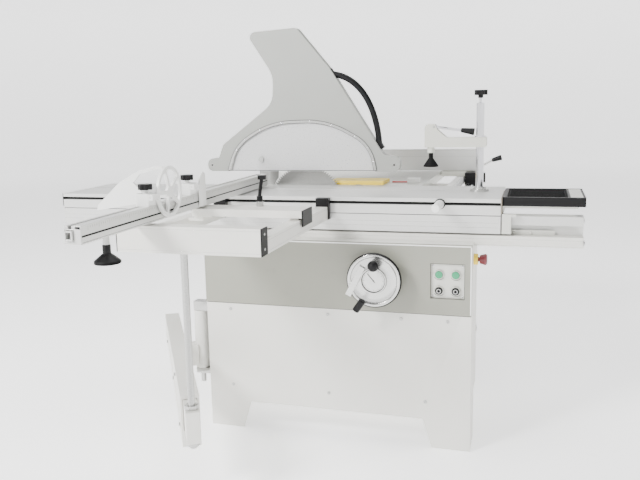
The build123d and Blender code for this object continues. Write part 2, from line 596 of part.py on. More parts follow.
STOP_1_Y = -603.0
STOP_2_Y = -330.0
keep("stop_block_1", stop_block(STOP_1_Y))
keep("stop_block_2", stop_block(STOP_2_Y))
keep("flip_stop_round", spoked_shoe(STOP_1_Y))
keep("flip_stop_small", small_shoe(STOP_2_Y))
knobs = [star_knob("z", FENCE_Z1 + 46, FENCE_Z1 + 62, PIVOT_X, y, 21, 7) for y in (STOP_1_Y, STOP_2_Y)]
keep("stop_knob_1", knobs[0])
keep("stop_knob_2", knobs[1])
GUARD_Y = STOP_1_Y + 81
horn = prism_y([(FENCE_X0 + 2, FENCE_Z1), (FENCE_X0 - 6, FENCE_Z1), (FENCE_X0 - 190, TABLE_Z + 24),
                (FENCE_X0 - 186, TABLE_Z + 40), (FENCE_X0 - 110, TABLE_Z + 108), (FENCE_X0 - 40, TABLE_Z + 146),
                (FENCE_X0 + 20, TABLE_Z + 160), (FENCE_X0 + 40, TABLE_Z + 158), (FENCE_X0 + 40, TABLE_Z + 150),
                (FENCE_X0 + 16, TABLE_Z + 150), (FENCE_X0 - 36, TABLE_Z + 136), (FENCE_X0 - 60, TABLE_Z + 110),
                (FENCE_X0 - 20, TABLE_Z + 70)], GUARD_Y - 3, GUARD_Y + 3)
horn += block(FENCE_X0 - 6, FENCE_X0 + 36, GUARD_Y - 28, GUARD_Y + 28, FENCE_Z1, FENCE_Z1 + 4)
keep("stop_guard", horn)

# ---- hold-down clamp on the carriage ----
base = along("z", TABLE_Z, TABLE_Z + 8, HOLD_X, HOLD_Y, 34) + along("z", TABLE_Z + 8, TABLE_Z + 16, HOLD_X, HOLD_Y, 20)
base -= along("z", TABLE_Z + 1, TABLE_Z + 17, HOLD_X, HOLD_Y, POST_R + RUN)
for i in range(4):
    t = math.radians(45 + 90 * i)
    base += along("z", TABLE_Z + 8, TABLE_Z + 11, HOLD_X + 26 * math.cos(t), HOLD_Y + 26 * math.sin(t), 4)
keep("hold_down_base", base)
POST_Z1 = 1200.0
post = along("z", TABLE_Z + 1, POST_Z1, HOLD_X, HOLD_Y, POST_R)
post += along("z", POST_Z1, POST_Z1 + 18, HOLD_X, HOLD_Y, 5)
keep("hold_down_post", post)
top_knob = star_knob("z", POST_Z1 + 28, POST_Z1 + 46, HOLD_X, HOLD_Y, 24)
top_knob += along("z", POST_Z1 + 18, POST_Z1 + 28, HOLD_X, HOLD_Y, 9)
keep("hold_down_knob", top_knob)
FOOT_X = HOLD_X - ARM_REACH
ARM_T = 34.0
HEAD_PIVOT = (FOOT_X + 12, 1118.0)
arm = plate_xz([(FOOT_X - 22, ARM_Z0), (HOLD_X + 24, ARM_Z0), (HOLD_X + 24, ARM_Z0 + ARM_H),
                (FOOT_X + 58, ARM_Z0 + ARM_H), (FOOT_X + 26, 1106), (FOOT_X + 16, 1128), (FOOT_X - 22, 1128)],
               [4, 6, 6, 10, 8, 6, 14], HOLD_Y - ARM_T / 2, HOLD_Y + ARM_T / 2)
arm -= along("z", ARM_Z0 - 1, ARM_Z0 + ARM_H + 1, HOLD_X, HOLD_Y, POST_R + RUN)
arm -= block(FOOT_X - 11, FOOT_X + 80, HOLD_Y - 10, HOLD_Y + 10, ARM_Z0 + ARM_H - 2, 1130)
arm += along("z", ARM_Z0 - 20, ARM_Z0, FOOT_X, HOLD_Y, 13)
PLUNGER_R = 8.0
arm -= along("z", ARM_Z0 - 21, ARM_Z0 + ARM_H, FOOT_X, HOLD_Y, PLUNGER_R + RUN)
arm -= along("y", HOLD_Y - 18, HOLD_Y + 18, *HEAD_PIVOT, 4)
keep("hold_down_arm", arm)
keep("arm_pin", along("y", HOLD_Y - 19, HOLD_Y + 19, *HEAD_PIVOT, 4 - RUN))
plunger = along("z", 1000, ARM_Z0 + ARM_H - 3, FOOT_X, HOLD_Y, PLUNGER_R)
plunger += taper("z", 976, 1004, FOOT_X, HOLD_Y, 27, 8) + along("z", 972, 976, FOOT_X, HOLD_Y, 27)
keep("clamp_foot", plunger)
lever = along("y", HOLD_Y - 9, HOLD_Y + 9, *HEAD_PIVOT, 11)
lever += Pos(HEAD_PIVOT[0] + 48, HOLD_Y, HEAD_PIVOT[1] - 7) * Rot(0, 8, 0) * Box(96, 8, 9)
lever -= along("y", HOLD_Y - 10, HOLD_Y + 10, *HEAD_PIVOT, 4 + RUN)
keep("hold_down_lever", lever)
grip = Pos(HEAD_PIVOT[0] + 120, HOLD_Y, HEAD_PIVOT[1] - 17) * Rot(0, 98, 0) * Cone(8, 13, 48)
keep("lever_grip", fillet(grip.edges(), 2))


# ---- swing arm carrying the outrigger ----
def swing_frame(shape):
    """Turn a piece drawn along -Y about the swing post into the arm's own direction."""
    return Pos(SWING_X, SWING_Y, 0) * Rot(0, 0, ARM_ANGLE) * shape


ARM_ANGLE = 30.0
ARM_X1 = -62.0               # right face of the arm, from the swing post
BACK = -430.0                # how far the arm reaches behind the post
arm_x0 = ARM_X1 - ARM_W
far = -BACK
near = far - ARM_LEN
outer = prism_x([(far, 226), (far, 320), (near, 320), (near, 150)], arm_x0, ARM_X1)
tube_x0 = (arm_x0 + ARM_X1) / 2 - TUBE_W / 2
TUBE_Z0 = 206.0
outer -= block(tube_x0 - 2, tube_x0 + TUBE_W + 2, near - 1, far - 4, TUBE_Z0 - 2, TUBE_Z0 + TUBE_H + 2)
liner_y = near + 90
for y in (near + 6, liner_y):
    pad = block(tube_x0 - 2, tube_x0 + TUBE_W + 2, y, y + 20, TUBE_Z0 - 2, TUBE_Z0 + TUBE_H + 2)
    outer += pad - block(tube_x0 - GAP, tube_x0 + TUBE_W + GAP, y - 1, y + 21, TUBE_Z0 - GAP, TUBE_Z0 + TUBE_H + GAP)
HINGE_Z0 = 218.0
HINGE_Z1 = 445.0
barrel = along("z", HINGE_Z0, HINGE_Z1, 0, 0, SWING_R + 5) - along("z", HINGE_Z0 - 1, HINGE_Z1 + 1, 0, 0, 10 + RUN)
web = block(ARM_X1, -18, -30, 30, 232, 312) - along("z", 200, 400, 0, 0, SWING_R)
keep("swing_arm", swing_frame(outer + (barrel + web)))
bolts = []
for y, z in ((far - 180, 250), (near + 420, 230), (near + 260, 300), (near + 90, 190)):
    bolts.append(swing_frame(along("x", arm_x0 - 5, arm_x0, y, z, 6)))
keep("swing_arm_bolts", *bolts)
tube_y0 = near - 108
tube = tube_y(tube_x0, tube_x0 + TUBE_W, tube_y0 + 3, near + 560, TUBE_Z0, TUBE_Z0 + TUBE_H)
POST_Y = tube_y0 + 34
post_x = tube_x0 + TUBE_W / 2
LEG_R = 11.0
tube -= along("z", TUBE_Z0 - 1, TUBE_Z0 + TUBE_H + 1, post_x, POST_Y, LEG_R + RUN)
keep("swing_tube", swing_frame(tube))
keep("swing_tube_cap", swing_frame(block(tube_x0, tube_x0 + TUBE_W, tube_y0, tube_y0 + 3, TUBE_Z0, TUBE_Z0 + TUBE_H)))
leg = along("z", TUBE_Z0 - 26, OUT_Z0 - 4, post_x, POST_Y, LEG_R)
leg += hex_head("z", TUBE_Z0 + TUBE_H + GAP, TUBE_Z0 + TUBE_H + 14, post_x, POST_Y, 38)
leg += hex_head("z", TUBE_Z0 - 20, TUBE_Z0 - GAP, post_x, POST_Y, 34)
keep("support_post", swing_frame(leg))
mountings = []
for z0, z1 in ((HINGE_Z1 + GAP, HINGE_Z1 + 36), (HINGE_Z0 - 22, HINGE_Z0 - GAP)):
    lug = block(SWING_X - 20, -3, SWING_Y - 20, SWING_Y + 20, z0, z1)
    mountings.append(lug)
hinge_plate = block(-3, 0, 8, 66, 140, 500)
hinge_pin = along("z", HINGE_Z0 - 60, HINGE_Z1 + 36, SWING_X, SWING_Y, 10)
keep("swing_hinge", mountings[0] + mountings[1] + hinge_plate + hinge_pin)


# ---- saw unit: tilting cradle, rising carrier, arbor, blade, motor ----
TILT_Z = TABLE_Z
SHOE_R0 = 150.0
SHOE_R1 = 185.0
CRADLE_X0 = 78.0
CRADLE_X1 = 702.0
END_T = 12.0
COLUMN_R = 14.0
COLUMN_X = (150.0, 590.0)
COLUMN_Y = 490.0
TOP_Z = 840.0
LOW_Z = 478.0

hangers = []
for x_ring, x_web in ((CRADLE_X0, CRADLE_X0 - 18), (CRADLE_X1 - END_T, CRADLE_X1 + GAP)):
    lo = min(x_ring, x_web)
    hi = max(x_ring + END_T, x_web + 18 - GAP)
    ring = sector_x(BLADE_Y, TILT_Z, SHOE_R1 + RUN, SHOE_R1 + 30, -47, 65, lo, hi)
    web = block(x_web, x_web + 18 - GAP, 530, 610, 722, TABLE_TOP - TABLE_T)
    hangers.append(ring + web)
keep("trunnion_hangers", *hangers)

cradle = None
for x in (CRADLE_X0, CRADLE_X1 - END_T):
    shoe = sector_x(BLADE_Y, TILT_Z, SHOE_R0, SHOE_R1, 0, 60, x, x + END_T)
    inner = x + END_T if x == CRADLE_X0 else x - END_T
    plate_end = block(inner, inner + END_T, COLUMN_Y - 14, COLUMN_Y + 14, LOW_Z - 12, TOP_Z + 12)
    cradle = shoe + plate_end if cradle is None else cradle + shoe + plate_end
for z in (TOP_Z, LOW_Z - 12):
    cradle += block(CRADLE_X0 + END_T, CRADLE_X1 - END_T, COLUMN_Y - 14, COLUMN_Y + 14, z, z + 12)
for x in COLUMN_X:
    cradle += along("z", LOW_Z - 1, TOP_Z + 1, x, COLUMN_Y, COLUMN_R)
SCORE_Z = TABLE_Z + 3 - SCORE_R
cradle += block(SCORE_X - 26, SCORE_X + 26, COLUMN_Y - 22, COLUMN_Y + 14, SCORE_Z - 24, TOP_Z)
cradle -= along("y", COLUMN_Y - 30, COLUMN_Y + 20, SCORE_X, SCORE_Z, 12 + RUN)
keep("tilt_cradle", cradle)
keep("scoring_motor", along("y", COLUMN_Y + 14, COLUMN_Y + 112, SCORE_X, SCORE_Z, 34)
     - along("y", COLUMN_Y + 13, COLUMN_Y + 40, SCORE_X, SCORE_Z, 13))
score = along("y", BLADE_Y + 2.8, COLUMN_Y + 36, SCORE_X, SCORE_Z, 12)
score += along("y", BLADE_Y + 2.8, BLADE_Y + 8, SCORE_X, SCORE_Z, 20)
score += along("y", BLADE_Y + 0.2, BLADE_Y + 2.8, SCORE_X, SCORE_Z, SCORE_R)
score += along("y", BLADE_Y - 5, BLADE_Y + 0.2, SCORE_X, SCORE_Z, 12)
keep("scoring_blade", score)

carrier = block(COLUMN_X[0] - 22, COLUMN_X[1] + 22, COLUMN_Y - 20, COLUMN_Y - 8, 590, 770)
for x in COLUMN_X:
    carrier += block(x - 22, x + 22, COLUMN_Y - 20, COLUMN_Y + 24, 590, 770)
carrier += block(BLADE_X - 34, BLADE_X + 34, COLUMN_Y - 20, COLUMN_Y + 36, 770 - 20, 832)
carrier += block(395, 545, COLUMN_Y - 20, CAB_D - 20, 560, 569)
carrier += block(395, 545, COLUMN_Y - 20, COLUMN_Y - 8, 560, 600)
KNIFE_X0 = CRADLE_X0 + END_T + 2   # the knife's foot stands just clear of the tilting shoe
carrier += block(KNIFE_X0, COLUMN_X[0] - 10, BLADE_Y + 4.5, COLUMN_Y - 14 - GAP, 696, 740)
for x in COLUMN_X:
    carrier -= along("z", 550, 850, x, COLUMN_Y, COLUMN_R + RUN)
carrier -= along("y", 400, 560, BLADE_X, BLADE_Z, BORE_R + 2 + RUN)
keep("rise_carrier", carrier)

arbor = along("y", BLADE_Y - 22, COLUMN_Y + 66, BLADE_X, BLADE_Z, BORE_R)
arbor += along("y", BLADE_Y + BLADE_T, BLADE_Y + BLADE_T + 9, BLADE_X, BLADE_Z, 45)
arbor += along("y", BLADE_Y + BLADE_T + 9, COLUMN_Y + 40, BLADE_X, BLADE_Z, BORE_R + 2)
arbor += along("y", COLUMN_Y + 40, COLUMN_Y + 66, BLADE_X, BLADE_Z, 32)
keep("arbor", arbor)
flange = along("y", BLADE_Y - 7, BLADE_Y, BLADE_X, BLADE_Z, 40) - along("y", BLADE_Y - 8, BLADE_Y + 1, BLADE_X, BLADE_Z, BORE_R)
keep("blade_flange", flange)
nut = hex_head("y", BLADE_Y - 20, BLADE_Y - 7, BLADE_X, BLADE_Z, 40)
keep("arbor_nut", nut - along("y", BLADE_Y - 21, BLADE_Y - 6, BLADE_X, BLADE_Z, BORE_R))


def saw_blade():
    """A disc whose rim is cut into teeth with sloping backs."""
    outline = []
    for i in range(TEETH):
        t = 2 * math.pi * i / TEETH
        step = 2 * math.pi / TEETH
        for part, r in ((0.0, BLADE_R), (0.35, BLADE_R - 1.2), (0.5, BLADE_R - 8), (0.93, BLADE_R - 8)):
            a = t + part * step
            outline.append((BLADE_X + r * math.cos(a), BLADE_Z + r * math.sin(a)))
    disc = prism_y(outline, BLADE_Y, BLADE_Y + BLADE_T)
    return disc - along("y", BLADE_Y - 1, BLADE_Y + BLADE_T + 1, BLADE_X, BLADE_Z, BORE_R)


keep("saw_blade", saw_blade())

MOTOR_X = 470.0
MOTOR_Z = 640.0
motor = along("y", 566, 680, MOTOR_X, MOTOR_Z, 70)
for i in range(9):
    motor += along("y", 574 + i * 11, 578 + i * 11, MOTOR_X, MOTOR_Z, 70.6)
keep("main_motor", motor - along("y", 560, 600, MOTOR_X, MOTOR_Z, 12 + RUN))
PULLEY_Y0 = COLUMN_Y + 42
PULLEY_Y1 = COLUMN_Y + 64
pulley = along("y", PULLEY_Y0, PULLEY_Y1, MOTOR_X, MOTOR_Z, 32) + along("y", PULLEY_Y1, 598, MOTOR_X, MOTOR_Z, 12)
keep("motor_pulley", pulley)
dx = MOTOR_X - BLADE_X
dz = MOTOR_Z - BLADE_Z
span = math.hypot(dx, dz)
belt_angle = math.degrees(math.atan2(dz, dx))
loop_out = SlotCenterToCenter(span, 2 * 35.0)
loop_in = SlotCenterToCenter(span, 2 * 32.3)
plane = Plane(origin=(BLADE_X + dx / 2, PULLEY_Y1 - 3, BLADE_Z + dz / 2), x_dir=(dx, 0, dz), z_dir=(0, -1, 0))
keep("drive_belt", extrude(plane * (loop_out - loop_in), amount=PULLEY_Y1 - PULLEY_Y0 - 6))

KNIFE_T = 2.6
HOOD_BOLT_X = 78.0
HOOD_BOLT_Z = 990.0
HOOD_BOLT_R = 5.0
knife_y0 = SAW_Y - KNIFE_T / 2


def riving_knife():
    gap_r = BLADE_R + 4
    foot_x1 = KNIFE_X0 + 48
    knife = plate_xz([(KNIFE_X0, 690), (foot_x1, 690), (foot_x1, 850), (foot_x1 + 8, 950), (HOOD_BOLT_X + 18, 1006),
                      (HOOD_BOLT_X - 18, 1006), (HOOD_BOLT_X - 14, 880), (KNIFE_X0, 824)],
                     [4, 4, 4, 4, 10, 10, 20, 20], knife_y0, knife_y0 + KNIFE_T)
    knife -= along("y", knife_y0 - 1, knife_y0 + KNIFE_T + 1, BLADE_X, BLADE_Z, gap_r)
    return knife - along("y", 440, 460, HOOD_BOLT_X, HOOD_BOLT_Z, HOOD_BOLT_R + RUN)


keep("riving_knife", riving_knife())
keep("knife_clamp", block(KNIFE_X0, KNIFE_X0 + 12, knife_y0 + KNIFE_T, BLADE_Y + 4.5, 696, 726),
     block(KNIFE_X0 + 1, KNIFE_X0 + 11, knife_y0 - 5, knife_y0, 698, 724))

# ---- blade hood ----
HOOD_Y0 = SAW_Y - HOOD_T / 2
HOOD_Y1 = SAW_Y + HOOD_T / 2
hood_points = [(HOOD_X0, 940), (HOOD_X1, 940), (HOOD_X1, 1000), (597, 1002), (382, 1344), (243, 1512), (28, 1502),
               (140, 1330), (136, 1218), (-90, 1052), (-112, 994), (HOOD_X0, 994)]
hood_radii = [22, 24, 24, 30, 120, 22, 22, 110, 90, 40, 18, 24]
WINDOW = [(-66, 930), (560, 930), (540, 1046), (364, 1144), (120, 1140), (-30, 1046)]
WINDOW_R = [4, 4, 150, 350, 350, 170]
WIDER_R = [4, 4, 158, 358, 358, 178]
NARROWER_R = [4, 4, 144, 344, 344, 164]


def hood_shell():
    shell = plate_xz(hood_points, hood_radii, HOOD_Y0, HOOD_Y1)
    inner_points = offset_outline()
    shell -= extrude(inner_points, amount=HOOD_T - 2 * CHEEK)
    shell -= plate_xz(WINDOW, WINDOW_R, HOOD_Y0 - 1, HOOD_Y1 + 1)
    for x, z in ((HOOD_X1 - 22, 966), (HOOD_X0 + 20, 966)):
        shell -= along("y", HOOD_Y0 - 1, HOOD_Y1 + 1, x, z, 4)
    return shell


def offset_outline():
    face = make_face(FilletPolyline(*hood_points, radius=hood_radii, close=True))
    smaller = offset(face, amount=-3)
    lower = Pos(HOOD_X0 / 2 + HOOD_X1 / 2, 930) * Rectangle(HOOD_X1 - HOOD_X0 - 60, 60)
    plane = Plane(origin=(0, HOOD_Y1 - CHEEK, 0), x_dir=(1, 0, 0), z_dir=(0, -1, 0))
    return plane * (smaller + lower)


keep("hood_shell", hood_shell())
pane_points = [(-74, 941), (568, 941), (546, 1052), (366, 1152), (118, 1148), (-36, 1052)]
panes = []
for y0 in (HOOD_Y0 + CHEEK + 0.2, HOOD_Y1 - CHEEK - 2.2):
    pane = plate_xz(pane_points, WIDER_R, y0, y0 + 2)
    pane -= along("y", y0 - 1, y0 + 3, HOOD_BOLT_X, HOOD_BOLT_Z, HOOD_BOLT_R)
    panes.append(pane)
keep("hood_windows", *panes)
bolt = along("y", HOOD_Y0 - 2, HOOD_Y1 + 2, HOOD_BOLT_X, HOOD_BOLT_Z, HOOD_BOLT_R)
bolt += along("y", HOOD_Y0 - 2, HOOD_Y0 + CHEEK, HOOD_BOLT_X, HOOD_BOLT_Z, 11)
bolt += along("y", HOOD_Y1 - CHEEK, HOOD_Y1 + 2, HOOD_BOLT_X, HOOD_BOLT_Z, 11)
keep("hood_bolt", bolt)
trims = []
for y0 in (HOOD_Y0 - 3, HOOD_Y1):
    outer_face = plate_xz([(-72, 944), (566, 944), (545, 1050), (366, 1149), (118, 1145), (-34, 1050)],
                          WIDER_R, y0, y0 + 3)
    trims.append(outer_face - plate_xz([(-60, 930), (554, 930), (535, 1042), (362, 1138), (122, 1134), (-26, 1042)],
                                       NARROWER_R, y0 - 1, y0 + 4))
keep("hood_trim", *trims)


def bow_handle():
    path = Spline((388, SAW_Y, 1326), (480, SAW_Y, 1282), (552, SAW_Y, 1160), (572, SAW_Y, 1052))
    section = Plane(origin=path @ 0, z_dir=path % 0) * Ellipse(12, 11)
    bow = sweep(section, path=path)
    bow += Pos(384, SAW_Y, 1327) * Rot(0, -32, 0) * Box(20, 22, 40)
    bow += Pos(574, SAW_Y, 1046) * Rot(0, -32, 0) * Box(22, 22, 40)
    return bow - plate_xz(hood_points, hood_radii, HOOD_Y0 - 1, HOOD_Y1 + 1)


keep("hood_handle", bow_handle())

# ---- handwheel with its dial ----
WHEEL_Y = -62.0
shaft = along("y", WHEEL_Y - 6, 150, WHEEL_X, WHEEL_Z, SHAFT_R - 2)
for i in range(10):
    shaft += along("y", 60 + i * 8, 64 + i * 8, WHEEL_X, WHEEL_Z, SHAFT_R)
keep("wheel_shaft", shaft)
bearing = along("y", -10, -FASCIA_T, WHEEL_X, WHEEL_Z, 30) + along("y", -FASCIA_T, 30, WHEEL_X, WHEEL_Z, SHAFT_R + 9)
keep("shaft_bearing", bearing - along("y", -20, 40, WHEEL_X, WHEEL_Z, SHAFT_R - 2 + RUN))
rim = Pos(WHEEL_X, WHEEL_Y, WHEEL_Z) * Rot(90, 0, 0) * Torus(WHEEL_R - 9, 9)
rim += along("y", WHEEL_Y - 4, WHEEL_Y + 8, WHEEL_X, WHEEL_Z, WHEEL_R - 9)
rim += along("y", WHEEL_Y - 14, WHEEL_Y + 40, WHEEL_X, WHEEL_Z, 44)
rim -= along("y", WHEEL_Y - 15, WHEEL_Y - 5, WHEEL_X, WHEEL_Z, 41)
rim -= along("y", WHEEL_Y - 7, WHEEL_Y + 41, WHEEL_X, WHEEL_Z, SHAFT_R - 2)
bar = Pos(WHEEL_X - 63, WHEEL_Y - 8, WHEEL_Z - 4) * Rot(0, 27, 0) * Box(20, 12, 112)
rim += bar
keep("handwheel", rim)
keep("wheel_dial", along("y", WHEEL_Y - 9, WHEEL_Y - 6, WHEEL_X, WHEEL_Z, 40.5)
     - along("y", WHEEL_Y - 10, WHEEL_Y - 5, WHEEL_X, WHEEL_Z, 2 + RUN))
needle = block(-1.2, 1.2, WHEEL_Y - 10.5, WHEEL_Y - 9.5, -8, 32)
needle = Pos(WHEEL_X, 0, WHEEL_Z) * Rot(0, -40, 0) * needle
needle += along("y", WHEEL_Y - 10.5, WHEEL_Y - 6.5, WHEEL_X, WHEEL_Z, 2)
keep("dial_needle", needle)
BALL_AT = (WHEEL_X + 6, WHEEL_Z + 58)
lock = along("y", WHEEL_Y - 34, WHEEL_Y - 4, *BALL_AT, 7)
lock += Pos(BALL_AT[0], WHEEL_Y - 42, BALL_AT[1]) * Sphere(19)
keep("wheel_lock_knob", lock)
GRIP_AT = (WHEEL_X - 34, WHEEL_Z - 66)
grip = Pos(GRIP_AT[0] - 12, WHEEL_Y - 33, GRIP_AT[1] - 18) * Rot(0, 34, 0) * Cylinder(12, 46)
grip = fillet(grip.edges(), 5)
keep("wheel_grip", grip + along("y", WHEEL_Y - 33, WHEEL_Y - 9 - GAP, GRIP_AT[0] - 4, GRIP_AT[1] - 6, 6))

# ---- rip fence on its rail ----
RAIL_Y0 = 430.0
RAIL_Y1 = 1452.0
scale_x0 = 815.0
keep("rip_scale_rail", block(scale_x0, scale_x0 + 35, RAIL_Y0 + 30, RAIL_Y1, 830, 860))
keep("rip_bar", along("y", RAIL_Y0 + 30, RAIL_Y1, BAR_X, BAR_Z, BAR_R))
brackets = []
for y in (RAIL_Y0 + 80, 760, RAIL_Y1 - 80):
    b = block(TABLE_X1, scale_x0, y - 15, y + 15, 842, 858) + block(scale_x0 - 20, BAR_X + 10, y - 10, y + 10, 790, 806)
    b += block(scale_x0 - 20, scale_x0, y - 10, y + 10, 790, 842) + block(BAR_X - 10, BAR_X + 10, y - 10, y + 10, 800, 812)
    brackets.append(b - along("y", y - 20, y + 20, BAR_X, BAR_Z, BAR_R))
keep("rip_rail_brackets", *brackets)
RIP_C = RIP_Y - 10
black = block(856, 912, RIP_C - 70, RIP_C + 90, 814, 880) - along("y", 900, 1300, BAR_X, BAR_Z, BAR_R + RUN)
black -= block(BAR_X - 16, BAR_X + 16, RIP_C - 71, RIP_C + 91, 810, 822)
keep("rip_carrier", black)
casting = block(TABLE_X1 + 5, 856, RIP_C - 40, RIP_C + 60, 861, 880)
casting += block(TABLE_X1 + 5, 912, RIP_Y + 3 + GAP, RIP_C + 50, 880, RIP_Z + RIP_H - 34 - GAP)
keep("rip_casting", casting)
RIP_Z1 = RIP_Z + RIP_H
profile = block(RIP_X0, RIP_X1, RIP_Y, RIP_Y + RIP_T, RIP_Z, RIP_Z1)
profile -= block(RIP_X0 - 1, RIP_X1 + 1, RIP_Y + 3, RIP_Y + RIP_T + 1, RIP_Z - 1, RIP_Z1 - 34)
profile -= block(RIP_X0 - 1, RIP_X1 + 1, RIP_Y + 6, RIP_Y + RIP_T - 3, RIP_Z1 - 31, RIP_Z1 - 3)
keep("rip_fence", profile)
RLEVER = (922.0, RIP_C + 33, 900.0)
lever = along("x", 912, 932, RLEVER[1], RLEVER[2], 9)
lever += Pos(RLEVER[0] + 28, RLEVER[1], RLEVER[2] + 18) * Rot(0, 62, 0) * Cylinder(5, 58)
keep("rip_lever", lever)
keep("rip_lever_grip", fillet((Pos(992, RLEVER[1], 937) * Rot(0, 72, 0) * Cone(9, 13, 46)).edges(), 2))
fine = star_knob("x", 930, 946, RIP_C - 40, 856, 24) + along("x", 912, 930, RIP_C - 40, 856, 7)
keep("rip_fine_knob", fine)

# ---- pieces of one body and one place are kept together, each still its own solid ----
GROUPS = {
    "control_plate": ["button_bezels", "shaft_bearing"],
    "cabinet_fittings": ["panel_screws", "door_hinges", "dust_port", "isolator"],
    "main_table": ["table_insert", "extension_table"],
    "carriage": ["push_handle"],
    "rip_rails": ["rip_bar", "rip_scale_rail", "table_gauge"],
    "table_brackets": ["table_supports", "trunnion_hangers", "rip_rail_brackets"],
    "guide_rail": ["rail_beam", "guide_profile"],
    "end_tray": ["tray_mat", "carriage_end_caps"],
    "tray_bracket": ["carriage_stop", "handle_stud"],
    "crosscut_fence": ["fence_caps"],
    "fence_foot": ["fence_pivot", "fence_stud", "fence_foot_knob"],
    "stop_block_1": ["stop_knob_1", "stop_guard"],
    "stop_block_2": ["stop_knob_2"],
    "outrigger_fittings": ["outrigger_caps", "outrigger_clamps", "clamp_boss"],
    "outrigger_inner_beam": ["outrigger_risers"],
    "hold_down_arm": ["arm_pin"],
    "hold_down_lever": ["lever_grip"],
    "swing_arm": ["swing_arm_bolts"],
    "swing_tube": ["swing_tube_cap"],
    "tilt_cradle": ["scoring_motor"],
    "rise_carrier": ["main_motor", "knife_clamp", "drive_belt"],
    "arbor": ["blade_flange", "arbor_nut"],
    "hood_fittings": ["hood_trim", "hood_bolt", "hood_handle"],
    "handwheel": ["wheel_shaft", "wheel_dial", "wheel_lock_knob"],
    "rip_carrier": ["rip_casting"],
    "rip_lever": ["rip_lever_grip"],
}
for name, members in GROUPS.items():
    solids = list(pieces[name].solids()) if name in pieces else []
    for member in members:
        solids.extend(pieces.pop(member).solids())
    pieces[name] = Compound(children=solids)

# ---- move everything to the middle of the footprint and write the files ----
whole = Compound(children=[Compound(children=item.solids()) for item in pieces.values()]).bounding_box()
SHIFT_X = -(whole.min.X + whole.max.X) / 2
SHIFT_Y = -(whole.min.Y + whole.max.Y) / 2
for name, shape in pieces.items():
    export_step(Pos(SHIFT_X, SHIFT_Y, 0) * shape, f"parts/{name}.step")
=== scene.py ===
import json
import math

import bmesh
import bpy
from mathutils import Matrix, Vector


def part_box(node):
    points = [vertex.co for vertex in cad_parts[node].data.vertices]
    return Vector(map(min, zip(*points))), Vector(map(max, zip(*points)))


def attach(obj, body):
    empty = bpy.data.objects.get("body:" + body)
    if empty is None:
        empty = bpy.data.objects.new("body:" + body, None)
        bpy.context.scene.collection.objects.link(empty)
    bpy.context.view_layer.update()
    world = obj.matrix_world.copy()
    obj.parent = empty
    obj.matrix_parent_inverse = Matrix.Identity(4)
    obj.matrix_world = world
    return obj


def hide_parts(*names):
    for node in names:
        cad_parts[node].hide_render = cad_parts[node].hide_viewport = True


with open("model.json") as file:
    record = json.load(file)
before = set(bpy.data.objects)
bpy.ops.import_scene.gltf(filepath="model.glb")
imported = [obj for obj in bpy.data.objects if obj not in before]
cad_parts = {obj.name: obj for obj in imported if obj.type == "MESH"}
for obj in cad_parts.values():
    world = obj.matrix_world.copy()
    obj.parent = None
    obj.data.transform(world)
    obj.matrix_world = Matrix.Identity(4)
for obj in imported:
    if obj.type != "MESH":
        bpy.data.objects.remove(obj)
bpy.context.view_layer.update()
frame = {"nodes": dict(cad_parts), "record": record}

ORIGIN = Vector(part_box("cabinet_front")[0])
BODY = {node: body for body, nodes in frame["record"]["behaviour"]["bodies"].items()
        for node in nodes}


def at(x, y, z):
    """A point given in millimetres from the cabinet's front left corner, in the row frame."""
    return Vector((x, y, z)) / 1000 + ORIGIN


# ---- materials ----
def linear(colour):
    return tuple(c / 12.92 if c < 0.04 else ((c + 0.055) / 1.055) ** 2.4 for c in colour) + (1.0,)


